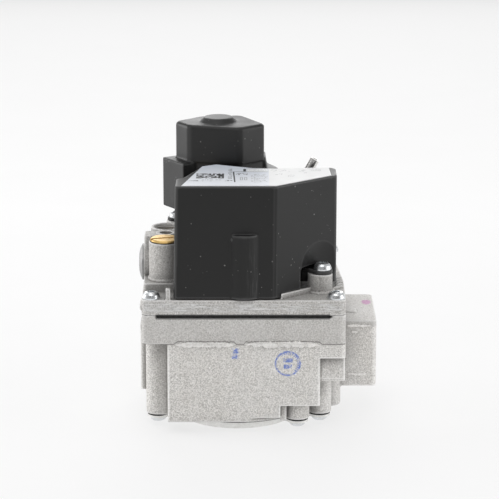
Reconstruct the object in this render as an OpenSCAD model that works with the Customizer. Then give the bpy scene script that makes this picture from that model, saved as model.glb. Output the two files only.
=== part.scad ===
// Two-stage gas valve: die-cast body and top plate, servo regulators, two
// solenoid operators, black plastic covers. Millimetres, +Z up. The origin is
// the centre of the bottom cover's lower face, on the main valve's axis.
// +X is the inlet side, -Y is the front.

/* [Castings] */
// Width of the body and top plate, along X
plate_w = 90.3; // [88:0.1:94]
// Depth of the body and top plate, along Y
plate_d = 92; // [88:0.5:96]
// Height of the top plate's upper face above the floor
plate_z = 62.8; // [62:0.1:64]
// Thickness of the top plate
plate_t = 6.9; // [6:0.1:8]
// Thickness of the gasket under the top plate
gasket_t = 1.4; // [1:0.1:1.6]

/* [Ports] */
// Radius of the 1/2-14 NPT tap drilling of the inlet and outlet
port_r = 9.1; // [8.5:0.1:9.5]
// Depth (Y) of the inlet and outlet bosses
boss_d = 45; // [40:1:46]
// Height (Z) of the inlet and outlet bosses
boss_h = 31; // [28:1:32]
// How far the inlet boss stands out of the body's side
inlet_reach = 15; // [8:1:20]

/* [Covers] */
// Height of the control cover above the top plate
cover_h = 51.2; // [50:0.2:56]
// Draft of the control cover: size of its top over that of its foot
cover_draft = 0.985; // [0.98:0.005:1]
// Wall of the plastic covers
cover_wall = 2; // [1.6:0.1:2.4]
// Height of the coil cover's hexagonal head
hex_h = 17; // [15:0.5:20]

/* [Regulators] */
// Outer radius of the two regulator towers
tower_r = 7.4; // [7:0.1:7.6]
// Height of the towers above the top plate
tower_h = 22.3; // [22:0.1:24]
// How far the adjusting screws are screwed in below the towers' tops
adjuster_depth = 6; // [5:0.5:7]

/* [Main valve] */
// Radius of the main valve seat's opening
seat_r = 10; // [8:0.5:11]
// Radius of the main valve's stem
stem_r = 2.5; // [2:0.1:3]

/* [Fasteners] */
// Radius of the pan heads of the casting screws
head_r = 4; // [3.6:0.1:4.1]
// Radius of the shanks of the casting screws
shank_r = 2; // [1.8:0.1:2.1]

/* [Hidden] */
$fn = 72;

eps = 0.01;
// Gap between a thread or a shaft and its hole
run_gap = 0.1;

// --- Castings: faces of the body and plate ---
plate_x0 = -42.2;
plate_x1 = plate_x0 + plate_w;
plate_y0 = -36.1;
plate_y1 = plate_y0 + plate_d;
plate_z0 = plate_z - plate_t;
band_z1 = plate_z0 - gasket_t;
band_z0 = 42.6;
corner_r = 3;
// Lower face of the body, above the bottom cover and the diaphragm's rim
foot_z = 6.3;
// The square chamber block at the front, below the band
block_x0 = -30.9;
block_x1 = 36.9;
block_y0 = plate_y0 + 0.3;
block_y1 = 38;
flow_y = 13.9;
flow_z = 30.2;
inlet_x = plate_x1 + inlet_reach;
outlet_x = plate_x0 - 1.6;
// Where the inlet's threaded bore ends and its narrower gas way starts
port_end_x = 34;
gas_way_r = port_r - 0.6;

// --- Plate and bottom screws ---
screw_inset = 4.3;
plate_screw_at = [
    for (x = [plate_x0 + screw_inset, plate_x1 - screw_inset])
        for (y = [plate_y0 + screw_inset, plate_y1 - screw_inset]) [x, y]
];
plate_screw_l = 16;
bottom_screw_at = [
    [27, -27.3], [37.1, -18.6], [-35.7, -19.6],
    [-29, 30.5], [29, 30.5], [0, 42.5]
];
bottom_boss_r = 5.4;
bottom_screw_l = 10;
plate_head_h = 3;
bottom_head_h = 2.2;

// --- Bottom cover and diaphragm ---
diaphragm_t = 0.8;
cover_plate_t = 1;
bowl_r = 27;
cover_plate_r = 34;
chamber_r = 27.5;
chamber_z1 = 17;
web_z = 20;
outlet_chamber_r = 20;
seat_z0 = 28;
seat_z1 = 31;
seat_lip = 1;
inlet_chamber_r = 17;
main_plate_z = foot_z + 2.1;

// --- Regulators: the low one in front, the high one behind ---
reg_x = -32.1;
low_y = -13.2;
high_y = 10.1;
reg_bore_r = 5.3;
// Wider mouth of the towers, tapped for the caps
cap_bore_r = 5.6;
cap_bore_l = 5.4;
cap_lead_in = 0.6;
reg_top_z = plate_z + tower_h;
// The low tower is a little shorter
low_top_z = reg_top_z - 1;
reg_cavity_r = 8.2;
reg_cavity_z = plate_z + 1.2;
reg_block_z = plate_z + 4;
reg_spring_z0 = plate_z + 5.6;
bleed_y = -1.4;
bleed_r = 2.9;
side_port_z = plate_z + 8.7;
side_port_r = 8.2;

// --- Solenoids: pos = [x, y, z of the seat of the guide tube's flange] ---
main_sol = [-8.5, 26.5, 92];
stage_sol = [2, -14, 70];
sol_pedestal_r = 13;
stage_pedestal_r = 11;
pedestal_top_r = 9.2;
tube_r = 6;
tube_wall = 0.6;
plunger_r = tube_r - tube_wall - run_gap;
seat_gap = 0.1;

// --- Control cover ---
// Plan of its top, clockwise from the front left corner
cover_plan = [
    [-27, -35.3], [-26.9, -19.7], [-23.5, -17.1], [-15.8, 6.4],
    [-9.5, 9.7], [6.9, 2.1], [16.9, 0.9], [42.2, 3.6],
    [44.2, 1.6], [44.4, -12.6], [17.2, -35.3]
];
cover_cut = 0.8;
// The draft's centre: the right side stands upright
cover_centre = [44, -12];
cover_foot = [for (p = cut_corners(cover_plan, cover_cut)) (p - cover_centre) / cover_draft];
// Gap under the cover's foot, left and front
foot_gap = 0.6;
label_plan = [
    [-24.2, -34.5], [-15.8, 4.8], [-9.6, 8.8], [6.7, 1.2], [16.9, 0.1],
    [41.2, 2.6], [41.8, -13.5], [17, -34.5]
];
cover_post = [38, -20.2];
cover_post_r = 4.5;
cover_post_z = plate_z + 8.3;
ear_t = 1.9;
// The foot stands on a cast rim to the right of rim_x
rim_x = 19.4;
rim_h = 2.3;
// Pocket and dish around the post
pocket = [[28.1, -45, 50], [60, -13.4, 74.4]];
dish_r = 26;
dish_at = [52, -37, 74.5];

// --- Coil cover ---
hex_z1 = plate_z + 67.9;
hex_z0 = hex_z1 - hex_h;
skirt_z = 88;
hex_centre = [-7.9, 25.5];
hex_plan = cut_corners([
    [-21.1, 1.8], [-14.4, -8.7], [9.2, -15.4], [20.8, -4.9], [9.8, 15.8],
    [-8.9, 14]
], 1.4);
// Sloping top edge of the head: its height and how far the top shrinks
hex_edge_h = 1;
hex_edge_k = 0.94;
coil_post = [-27.8, 23.3];
coil_post_z = plate_z + 22.2;
coil_ear_r = 4.6;
coil_ear_t = 1.4;
side_box_z = 90.7;
// Lobe at the right: its outer end, its depth and the top of its slope
lobe_x = 19.5;
lobe_y = [21, 36];
lobe_z = hex_z0 - 4.4;
// Two corners of the space in the connector housing, and its tabs
socket = [[-13.6, 39.5, 92], [-2.4, 48, 101]];
pin_x = [-12.6, -4.2];
pin_t = 0.8;
pin_z = [94, 99];

// --- Vent tube: upright, then bent over to the right ---
vent_at = [26, 10.1];
vent_r = 2.1;
vent_bore_r = 1.3;
vent_bend_z = 97.8;
vent_bend_r = 8;
vent_tilt = 29;
vent_end_l = 16.9;
bend_lap = 0.2;
bend_thinning = 0.05;

// ---------------------------------------------------------------- helpers

// An outline with each corner cut off at a distance c along both its edges
function cut_corners(outline, c) = let (n = len(outline)) [
    for (i = [0:n - 1])
        let (a = outline[(i + n - 1) % n], b = outline[i], d = outline[(i + 1) % n])
            each [b + c * (a - b) / norm(a - b), b + c * (d - b) / norm(d - b)]
];

// Flat block with rounded upright edges, between two corners
module block(a, b, r = corner_r) {
    size = b - a;
    translate(a) linear_extrude(size[2]) {
        translate([r, 0]) square([size[0] - 2 * r, size[1]]);
        translate([0, r]) square([size[0], size[1] - 2 * r]);
        for (x = [r, size[0] - r])
            for (y = [r, size[1] - r]) translate([x, y]) circle(r);
    }
}

module box(a, b) { translate(a) cube(b - a); }

// Upright cylinder or bore from z0 to z1
module post(at, r, z0, z1) {
    translate([at[0], at[1], z0]) cylinder(h = z1 - z0, r = r);
}

// Cylinder along X from x0 to x1
module lie_x(x0, x1, y, z, r) {
    translate([x0, y, z]) rotate([0, 90, 0]) cylinder(h = x1 - x0, r = r);
}

// Cylinder along Y from y0 to y1
module lie_y(y0, y1, x, z, r) {
    translate([x, y0, z]) rotate([-90, 0, 0]) cylinder(h = y1 - y0, r = r);
}

// Six-lobed driver recess, opening upwards at z = 0
module torx(depth) {
    translate([0, 0, -depth]) linear_extrude(depth + eps) {
        circle(1.45);
        for (i = [0:5]) rotate(60 * i) translate([1.4, 0]) circle(0.5, $fn = 24);
    }
}

// Pan-head screw with its seat at z = 0, head up
module pan_screw(r, shank, length, head_h) {
    rim = 0.6;
    difference() {
        rotate_extrude() polygon([
            [0, 0], [r, 0], [r, rim], [r * 0.9, head_h * 0.62],
            [r * 0.72, head_h * 0.9], [r * 0.5, head_h], [0, head_h]
        ]);
        translate([0, 0, head_h]) torx(1.3);
    }
    translate([0, 0, -length]) cylinder(h = length + eps, r = shank);
}

// Rings of points along a helix about the Z axis, closed and ground flat
function coil_point(r, z0, h, turns, t) =
    [r * cos(360 * turns * t), r * sin(360 * turns * t), z0 + h * t];
function coil_ring(r, wire, z0, h, turns, t, sides) = [
    for (k = [0:sides - 1])
        let (a = 360 * k / sides, p = coil_point(r + wire * cos(a), z0, h, turns, t))
            p + [0, 0, wire * sin(a)]
];

// Round-wire compression spring between z0 and z1
module spring(at, r, wire, turns, z0, z1) {
    sides = 6;
    steps = 14 * turns;
    h = z1 - z0 - 2 * wire;
    points = [
        for (i = [0:steps])
            each coil_ring(r, wire, z0 + wire, h, turns, i / steps, sides)
    ];
    faces = [
        [for (k = [0:sides - 1]) k],
        for (i = [0:steps - 1]) for (k = [0:sides - 1])
            let (n = (k + 1) % sides, a = i * sides, b = a + sides)
                [a + k, b + k, b + n, a + n],
        [for (k = [sides - 1:-1:0]) steps * sides + k]
    ];
    translate([at[0], at[1], 0]) polyhedron(points, faces);
}

// ---------------------------------------------------------------- castings

// Plan shared by the bottom cover's plate and the diaphragm's rim
module bottom_plan(r) {
    circle(r);
    for (at = bottom_screw_at) {
        translate(at) circle(4.8);
        rotate(atan2(at[1], at[0])) translate([bowl_r, -4.4]) square([norm(at) - bowl_r, 8.8]);
    }
}

// Upright wedge that narrows both castings' right side towards the back
module side_taper(z0, z1) {
    translate([0, 0, z0]) linear_extrude(z1 - z0) polygon([
        [plate_x1 + 0.01, -3], [plate_x1 - 2.1, 28], [plate_x1 - 3.2, plate_y1 + 1],
        [plate_x1 + 9, plate_y1 + 1], [plate_x1 + 9, -3]
    ]);
}

module body_mass() {
    difference() {
        block([plate_x0, plate_y0, band_z0], [plate_x1, plate_y1, band_z1]);
        side_taper(flow_z + boss_h / 2, plate_z);
    }
    // Pads at the corners, where the castings meet without the gasket
    for (x = [plate_x0, plate_x1 - 6.6]) for (y = [plate_y0, plate_y1 - 6.6])
        difference() {
            block([x, y, band_z1 - 1], [x + 6.6, y + 6.6, plate_z0], 2);
            side_taper(band_z1 - 2, plate_z);
        }
    // Lower edge of the band, deeper at the right
    block([block_x1 - 5, plate_y0 + 0.2, band_z0 - 6.6],
          [plate_x1, plate_y0 + 28, band_z0 + 1], 2);
    // Chamber block, notched at its lower right, with a round foot
    difference() {
        block([block_x0, block_y0, foot_z + 1.9], [block_x1, block_y1, band_z0 + 1], 1);
        box([19.2, block_y0 - 1, foot_z - 1], [block_x1 + 1, -21, 13.9]);
    }
    intersection() {
        post([0, 0], 36, foot_z, foot_z + 2);
        box([block_x0, block_y0, 0], [40, block_y1, 20]);
    }
    box([block_x0, block_y0, foot_z], [0, 0, foot_z + 2]);
    box([19.2, -33, foot_z], [22, -20, 14.5]);
    // Body behind the chamber block, around the gas ways
    block([-38.2, -14, 10], [41, 50, band_z0 + 1], 4);
    // Sloping shoulder below the band at the right
    translate([plate_x1 - 0.2, 0, 0]) rotate([0, -90, 0]) linear_extrude(14)
        polygon([
            [24.9, plate_y0 + 2.2], [26.5, plate_y0 + 1.2],
            [band_z0 - 6, plate_y0 + 4.4], [band_z0 - 6, -8], [24.9, -8]
        ]);
    // Screw bosses of the bottom cover
    for (at = bottom_screw_at) post(at, bottom_boss_r, foot_z, band_z0 + 1);
    post([41.4, -6.9], 5.6, foot_z, band_z0 + 1);
    box([-41.1, -19.6, foot_z + 7], [-30, -10, band_z0 + 1]);
    box([-36, -24.9, foot_z], [-30, -15, band_z0 + 1]);
    // Inlet and outlet bosses
    block([plate_x1 - 12, flow_y - boss_d / 2, flow_z - boss_h / 2],
          [inlet_x, flow_y + boss_d / 2, flow_z + boss_h / 2], 2);
    block([outlet_x, flow_y - boss_d / 2 - 5, flow_z - boss_h / 2],
          [plate_x0 + 12, flow_y + boss_d / 2, flow_z + boss_h / 2], 1);
    // Raised pad on the inlet boss
    block([plate_x1 - 1, flow_y - 9, flow_z + boss_h / 2 - 1],
          [plate_x1 + 6.4, flow_y - 3, flow_z + boss_h / 2 + 0.5], 0.5);
    // Pressure tap bosses at the back
    for (x = [-30, 32]) lie_y(45, 53, x, flow_z + 2, 7);
}

module valve_body() color("silver") difference() {
    body_mass();
    lie_x(port_end_x, inlet_x + 1, flow_y, flow_z, port_r);
    lie_x(24, port_end_x + 1, flow_y, flow_z, gas_way_r);
    lie_x(outlet_x - 1, -24, flow_y, flow_z, port_r);
    // Way from the inlet to the space above the seat
    box([9, 6, 32], [31, 22, 44]);
    post([0, 0], inlet_chamber_r, seat_z1, band_z1 + 1);
    // Seat opening, its raised lip left standing
    difference() {
        post([0, 0], inlet_chamber_r - 0.5, seat_z0 - 1, seat_z1 + seat_lip);
        post([0, 0], seat_r + 1.5, seat_z0 - 2, seat_z1 + seat_lip + 1);
        post([0, 0], inlet_chamber_r, seat_z0 - 2, seat_z1);
    }
    post([0, 0], seat_r, seat_z0 - 1, seat_z1 + seat_lip + 1);
    // Space below the seat and its way to the outlet
    post([0, 0], outlet_chamber_r, web_z, seat_z0);
    box([-33, 5, web_z + 1], [-12, 22, seat_z0 - 1]);
    post([0, 0], stem_r + run_gap / 2, chamber_z1 - 1, web_z + 1);
    post([0, 0], chamber_r, foot_z - 1, chamber_z1);
    for (at = bottom_screw_at)
        post(at, shank_r + 0.02, foot_z - 1, foot_z + bottom_screw_l);
    for (at = plate_screw_at)
        post(at, shank_r + 0.02, plate_z - plate_screw_l - 1, plate_z);
    // Tapped holes of the pressure taps, drilled through to the gas ways
    for (x = [-30, 32]) {
        lie_y(44.5, 54, x, flow_z + 2, 4.35);
        lie_y(flow_y + 4, 45, x, flow_z + 2, 1.5);
    }
}

// Outline of a regulator tower with its foot and ledges
module tower_mass(y, top) {
    post([reg_x, y], tower_r, reg_block_z - 1, top);
    post([reg_x, y], tower_r + 0.5, reg_block_z - 1, reg_block_z + 1);
}

module tower_hole(y, top) {
    post([reg_x, y], reg_bore_r, reg_cavity_z - 1, top + 1);
    post([reg_x, y], cap_bore_r, top - cap_bore_l, top + 1);
    post([reg_x, y], cap_bore_r + 0.5, top - cap_lead_in, top + 1);
    post([reg_x, y], reg_cavity_r, plate_z0 - 1, reg_cavity_z);
}

// Pedestal that a solenoid's guide tube stands in
module pedestal(sol, r, z) {
    post(sol, r, plate_z - 1, z);
    post(sol, pedestal_top_r, z - 1, sol[2]);
}

// Bore of the guide tube, with the servo nozzle standing in it
module pedestal_hole(sol) {
    difference() {
        post(sol, tube_r + 0.1, sol[2] - 12, sol[2] + 1);
        post(sol, 2.2, sol[2] - 13, sol[2] - 9.5);
    }
    post(sol, 1, sol[2] - 13, sol[2] - 9);
}

// Low wall that carries the right side of the control cover's foot
module cover_rim() {
    intersection() {
        translate([cover_centre[0], cover_centre[1], plate_z - 1]) linear_extrude(rim_h + 1)
            difference() {
                offset(delta = 0.6) polygon(cover_foot);
                offset(delta = -1.2) polygon(cover_foot);
            }
        box([rim_x, plate_y0, 0], [cover_post[0] - 5, cover_post[1] + 4, 100]);
    }
}

module top_plate() color("silver") difference() {
    union() {
        block([plate_x0, plate_y0, plate_z0], [plate_x1, plate_y1, plate_z]);
        // Regulator block, towers and the webs between them
        difference() {
            block([plate_x0 + 0.4, low_y - reg_cavity_r - 1, plate_z - 1],
                  [reg_x + tower_r + 0.4, high_y + reg_cavity_r + 1, reg_block_z], 1.5);
            cover_solid(reg_block_z, 0.3, 1);
        }
        tower_mass(low_y, low_top_z);
        tower_mass(high_y, reg_top_z);
        box([-36, low_y, plate_z], [-27, high_y, reg_top_z - 6]);
        post([reg_x, bleed_y], 4.6, plate_z, reg_top_z);
        block([-41.9, bleed_y - 4.5, reg_top_z - 8], [-34, bleed_y + 4.5, reg_top_z - 0.4], 1);
        lie_x(-42.2, -30, bleed_y, side_port_z, side_port_r);
        // Posts of the control cover and the coil cover
        post(cover_post, cover_post_r, plate_z - 1, cover_post_z);
        post(cover_post + [-1.4, 1], 5.2, plate_z - 1, cover_post_z);
        post(cover_post + [-0.8, 0.6], 6.2, plate_z - 1, plate_z + 0.7);
        post(coil_post, 5, plate_z - 1, coil_post_z);
        cover_rim();
        box([-31.4, plate_y0 + 0.4, plate_z - 1], [-29.4, plate_y0 + 3.4, plate_z + 5]);
        block([plate_x0 - 0.8, plate_y0 + 2, plate_z - 5], [plate_x0 + 4, plate_y0 + 12, plate_z - 2.4], 0.7);
        // Solenoid pedestals
        pedestal(main_sol, sol_pedestal_r, skirt_z);
        pedestal(stage_sol, stage_pedestal_r, plate_z + 4);
        // Boss of the vent tube
        post(vent_at, 4.6, plate_z - 1, plate_z + 7);
        // Cast ribs by the right edge
        difference() {
            for (i = [0:4]) translate([41, -18.5 + 4 * i, plate_z - 0.2]) rotate(40)
                lie_x(0, 8, 0, 0, 1.1);
            cover_solid(reg_block_z, 0.3, 1);
        }
    }
    side_taper(plate_z0 - 1, plate_z + 1);
    tower_hole(low_y, low_top_z);
    tower_hole(high_y, reg_top_z);
    post([reg_x, bleed_y], bleed_r, reg_top_z - 12, reg_top_z + 1);
    lie_x(-45, -38, bleed_y, side_port_z, 4.6);
    pedestal_hole(main_sol);
    pedestal_hole(stage_sol);
    post(vent_at, vent_r, plate_z, plate_z + 8);
    post(vent_at, vent_bore_r, plate_z0 - 1, plate_z + 1);
    post(cover_post, 1.52, plate_z - 2, cover_post_z + 1);
    post(coil_post, 1.52, coil_post_z - 12, coil_post_z + 1);
    for (at = plate_screw_at) post(at, shank_r + 0.2, plate_z0 - 1, plate_z + 1);
}

module plate_gasket() color("#2b2b2b") difference() {
    inset = 1.2;
    block([plate_x0 + inset, plate_y0 + inset, band_z1], [plate_x1 - inset, plate_y1 - inset, plate_z0], 2);
    for (x = [plate_x0, plate_x1 - 6.7]) for (y = [plate_y0, plate_y1 - 6.7])
        box([x - 0.1, y - 0.1, band_z1 - 1], [x + 6.8, y + 6.8, plate_z0 + 1]);
    translate([-1.2, 0, 0]) side_taper(band_z1 - 1, plate_z);
    post([0, 0], inlet_chamber_r, band_z1 - 1, plate_z0 + 1);
    for (y = [low_y, high_y]) post([reg_x, y], 4, band_z1 - 1, plate_z0 + 1);
    post(vent_at, vent_bore_r, band_z1 - 1, plate_z0 + 1);
}

module plate_screws() color("gainsboro") for (at = plate_screw_at)
    translate([at[0], at[1], plate_z]) rotate(20 * at[1]) pan_screw(head_r, shank_r, plate_screw_l, plate_head_h);

module bottom_cover() color("whitesmoke") {
    z1 = foot_z - diaphragm_t;
    z0 = z1 - cover_plate_t;
    difference() {
        union() {
            translate([0, 0, z0]) linear_extrude(cover_plate_t) bottom_plan(cover_plate_r);
            rotate_extrude() polygon([
                [0, 0], [bowl_r - 1.5, 0], [bowl_r - 0.4, 0.4], [bowl_r, 1.4],
                [bowl_r + 0.6, z0 + 0.1], [0, z0 + 0.1]
            ]);
        }
        translate([0, 0, 1]) cylinder(h = z1, r = bowl_r - 1);
        for (at = bottom_screw_at) post(at, shank_r + 0.2, -1, z1 + 1);
    }
}

module bottom_screws() color("gainsboro") for (at = bottom_screw_at)
    translate([at[0], at[1], foot_z - diaphragm_t - cover_plate_t])
        rotate([180, 0, 17 * at[0]]) pan_screw(3.8, shank_r, bottom_screw_l, bottom_head_h);

// ---------------------------------------------------------------- main valve

module main_diaphragm() color("#222222") difference() {
    union() {
        translate([0, 0, foot_z - diaphragm_t]) linear_extrude(diaphragm_t)
            difference() {
                bottom_plan(cover_plate_r);
                circle(26.2);
            }
        rotate_extrude() polygon([
            [0, 7.6], [19, 7.6], [20, 10.2], [23, 11.4], [25.4, 10.2], [26, 5.5],
            [27, 5.5], [27, 6.3], [26.3, 10.8], [23, 12.3], [19.2, 10.9],
            [18.3, main_plate_z], [0, main_plate_z]
        ]);
    }
    post([0, 0], stem_r, 0, 20);
    for (at = bottom_screw_at) post(at, shank_r + 0.2, 0, 20);
}

module diaphragm_plate() color("silver") difference() {
    post([0, 0], 17.6, main_plate_z, main_plate_z + 1.2);
    post([0, 0], stem_r, 0, 20);
}

module diaphragm_washer() color("silver") difference() {
    post([0, 0], 8, 6.4, 7.6);
    post([0, 0], stem_r, 0, 20);
}

module main_stem() color("#c9a65a") {
    post([0, 0], stem_r, 5.4, 38);
    post([0, 0], stem_r + 1.5, 4.6, 6.4);
}

module main_poppet() color("silver") difference() {
    union() {
        post([0, 0], 12.8, seat_z1 + seat_lip + 1.6, seat_z1 + seat_lip + 3.4);
        post([0, 0], 4.5, seat_z1 + seat_lip + 1.6, seat_z1 + seat_lip + 5.5);
    }
    post([0, 0], stem_r, 0, 60);
}

module poppet_seal() color("#1f1f1f") difference() {
    post([0, 0], 12.8, seat_z1 + seat_lip + seat_gap, seat_z1 + seat_lip + 1.6);
    post([0, 0], stem_r, 0, 60);
}

module main_spring() color("gray")
    spring([0, 0], 8, 0.8, 5, seat_z1 + seat_lip + 3.4, plate_z0);

module inlet_screen() color("#9a9a9a") difference() {
    lie_x(port_end_x - 2, port_end_x - 1, flow_y, flow_z, gas_way_r);
    for (a = [-3:3]) for (b = [-3:3]) if (norm([a, b]) < 3.2)
        lie_x(port_end_x - 3, port_end_x, flow_y + 2.3 * a, flow_z + 2.3 * b, 0.8);
}

// Pipe plug of a pressure tap, with a hexagon socket
module tap_plug(x) color("#8d8d8d") difference() {
    lie_y(46, 53.4, x, flow_z + 2, 4.3);
    translate([x, 50, flow_z + 2]) rotate([-90, 0, 0]) cylinder(h = 5, r = 2.75, $fn = 6);
}

module inlet_tap_plug() { tap_plug(32); }

module outlet_tap_plug() { tap_plug(-30); }

// ---------------------------------------------------------------- control cover

module cover_solid(h, grow, top) {
    translate([cover_centre[0], cover_centre[1], plate_z])
        linear_extrude(h, scale = top) offset(delta = grow) polygon(cover_foot);
}

module dish(grow) {
    translate(dish_at) sphere(dish_r + grow, $fn = 96);
    box(pocket[0] - [grow, 0, 0], pocket[1] + [0, grow, grow]);
}

module control_cover() color("#2a2a2c") difference() {
    union() {
        difference() {
            cover_solid(cover_h, 0, cover_draft);
            dish(0);
        }
        // Upright half-round rib of the front face
        intersection() {
            post([3.2, plate_y0 + 6.2], 8.2, plate_z, plate_z + 29.5);
            box([-2.2, plate_y0 - 2.1, plate_z], [8.8, plate_y0 + 5, plate_z + 31]);
        }
        // Ear on the post
        post(cover_post, cover_post_r, cover_post_z, cover_post_z + ear_t);
        translate([cover_post[0], cover_post[1], cover_post_z]) rotate(130)
            translate([0, -4.5, 0]) cube([10.8, 9, ear_t]);
    }
    difference() {
        translate([0, 0, -eps]) cover_solid(cover_h - cover_wall, -cover_wall, cover_draft);
        dish(cover_wall);
    }
    box([rim_x, -60, plate_z - 1], [60, 20, plate_z + rim_h + 0.05]);
    box([-40, -60, plate_z - 1], [rim_x + 1, 20, plate_z + foot_gap]);
    post(cover_post, 1.7, plate_z, plate_z + 12);
}

module cover_label() color("white")
    translate([0, 0, plate_z + cover_h]) linear_extrude(0.2) polygon(label_plan);

module cover_screw() color("gainsboro")
    translate([cover_post[0], cover_post[1], cover_post_z + ear_t]) pan_screw(head_r, 1.5, 9, plate_head_h);

// ---------------------------------------------------------------- coil cover

// The head's plan, shrunk about its centre
module hex2d(k) {
    translate(hex_centre) polygon([for (p = hex_plan) p * k]);
}

// Terminal box on the front left side
module side_box() {
    translate([hex_centre[0] - 18.1, hex_centre[1] - 4.85, 0]) rotate(-56.6)
        box([-11, -3.1, side_box_z], [7.4, 8, hex_z0 - 0.2]);
}

module coil_cover() color("#262628") difference() {
    union() {
        translate([0, 0, hex_z0]) linear_extrude(hex_h - hex_edge_h) hex2d(1);
        translate([hex_centre[0], hex_centre[1], hex_z1 - hex_edge_h])
            linear_extrude(hex_edge_h, scale = hex_edge_k) polygon(hex_plan);
        translate([0, 0, skirt_z]) linear_extrude(hex_z0 - skirt_z + 1) hex2d(0.95);
        translate([hex_centre[0] - 0.9, hex_centre[1] + 0.6, hex_z1])
            cylinder(h = 2.2, r1 = 8.7, r2 = 6.5);
        side_box();
        // Lobe at the right, sloping down from the head
        translate([0, lobe_y[1], 0]) rotate([90, 0, 0]) linear_extrude(lobe_y[1] - lobe_y[0])
            polygon([
                [4, skirt_z], [lobe_x, skirt_z], [lobe_x, lobe_z - 4],
                [lobe_x - 1.2, lobe_z - 2.2], [lobe_x - 6, lobe_z],
                [lobe_x - 6.8, hex_z0 + 1], [4, hex_z0 + 1]
            ]);
        // Connector housing at the back
        box(socket[0] - [3, 6, 3], socket[1] + [3, 0, 3]);
        // Ear of the fixing screw and the strut beside it
        post(coil_post, coil_ear_r, coil_post_z, coil_post_z + coil_ear_t);
        translate([coil_post[0], coil_post[1], coil_post_z]) rotate(-45)
            box([0, -3, 0], [7.5, 3, coil_ear_t]);
        box([-24.6, 16.5, coil_post_z], [-21, 20.5, side_box_z + 1]);
    }
    translate([0, 0, skirt_z - 1]) linear_extrude(hex_z1 - cover_wall - skirt_z + 1) hex2d(0.87);
    box(socket[0], socket[1] + [0, 1, 0]);
    for (x = pin_x) box([x, 30, pin_z[0]], [x + pin_t, socket[0][1] + 1, pin_z[1]]);
    post(coil_post, 4.3, coil_post_z + coil_ear_t, side_box_z);
    post(coil_post, 1.6, coil_post_z - 1, coil_post_z + 2);
}

module coil_cover_screw() color("gainsboro")
    translate([coil_post[0], coil_post[1], coil_post_z + coil_ear_t]) pan_screw(3.7, 1.5, 9, 2.6);

// Two flat tabs in the connector housing
module connector_pins() color("#c8a24a") for (x = pin_x)
    box([x, 37, pin_z[0]], [x + pin_t, socket[1][1] - 2, pin_z[1]]);

// ---------------------------------------------------------------- solenoids

module guide_tube(sol) color("silver") translate([sol[0], sol[1], 0]) difference() {
    union() {
        post([0, 0], tube_r, sol[2] - 9, sol[2] + 29.6);
        post([0, 0], 8.5, sol[2], sol[2] + 1);
    }
    post([0, 0], tube_r - tube_wall, sol[2] - 10, sol[2] + 28.8);
}

module core(sol) color("#9b9b9b")
    post(sol, tube_r - tube_wall - 0.02, sol[2] + 16.2, sol[2] + 28.8);

module plunger(sol) color("#a8a8a8") difference() {
    post(sol, plunger_r, sol[2] - 8, sol[2] + 14);
    post(sol, 3, sol[2] + 8, sol[2] + 15);
}

module plunger_seal(sol) color("#202020") post(sol, 3.6, sol[2] - 9.5 + seat_gap, sol[2] - 8);

module plunger_spring(sol) color("gray") spring(sol, 2.3, 0.3, 5, sol[2] + 8, sol[2] + 16.2);

module bobbin(sol) color("#e8e2d0") translate([sol[0], sol[1], sol[2]]) rotate_extrude() polygon([
    [tube_r + 0.1, 3], [8.9, 3], [8.9, 4], [7, 4], [7, 25.6], [8.9, 25.6], [8.9, 26.6],
    [tube_r + 0.1, 26.6]
]);

module winding(sol) color("#b5652b") difference() {
    post(sol, 8.4, sol[2] + 4.05, sol[2] + 25.55);
    post(sol, 7.05, sol[2] + 4, sol[2] + 26);
}

module magnet_frame(sol) color("#777777") translate(sol) difference() {
    box([-10.1, -6.5, 1.4], [10.1, 6.5, 28.2]);
    box([-9.1, -7, 2.6], [9.1, 7, 27]);
    translate([0, 0, 1]) cylinder(h = 28, r = tube_r + 0.1);
}

module main_guide_tube() { guide_tube(main_sol); }

module main_core() { core(main_sol); }

module main_plunger() { plunger(main_sol); }

module main_plunger_seal() { plunger_seal(main_sol); }

module main_plunger_spring() { plunger_spring(main_sol); }

module main_bobbin() { bobbin(main_sol); }

module main_winding() { winding(main_sol); }

module main_magnet_frame() { magnet_frame(main_sol); }

module stage_guide_tube() { guide_tube(stage_sol); }

module stage_core() { core(stage_sol); }

module stage_plunger() { plunger(stage_sol); }

module stage_plunger_seal() { plunger_seal(stage_sol); }

module stage_plunger_spring() { plunger_spring(stage_sol); }

module stage_bobbin() { bobbin(stage_sol); }

module stage_winding() { winding(stage_sol); }

module stage_magnet_frame() { magnet_frame(stage_sol); }

// ---------------------------------------------------------------- regulators

// Slotted adjusting screw with its upper face at z
module adjuster(y, z) color("#c9a54c") difference() {
    post([reg_x, y], reg_bore_r - run_gap, z - 3, z);
    translate([reg_x, y, z]) rotate(15) cube([12, 1.2, 2.4], center = true);
}

module spring_seat(y, z) color("silver") post([reg_x, y], 4.4, z - 4, z - 3);

module servo_spring(y, z) color("gray") spring([reg_x, y], 3.6, 0.35, 5, reg_spring_z0, z - 4);

// Cup on the diaphragm that carries the spring
module servo_cup(y) color("silver") {
    post([reg_x, y], 4.6, plate_z - 1.4, reg_spring_z0);
    post([reg_x, y], 6.5, plate_z - 1.4, plate_z - 0.6);
}

module servo_diaphragm(y) color("#202020") post([reg_x, y], reg_cavity_r - 0.02, plate_z - 2, plate_z - 1.4);

module retainer(y) color("silver") difference() {
    post([reg_x, y], reg_cavity_r - 0.02, plate_z0, plate_z - 2);
    post([reg_x, y], 4, plate_z0 - 1, plate_z);
    post([reg_x, y], 6.8, plate_z - 3.2, plate_z);
}

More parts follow.
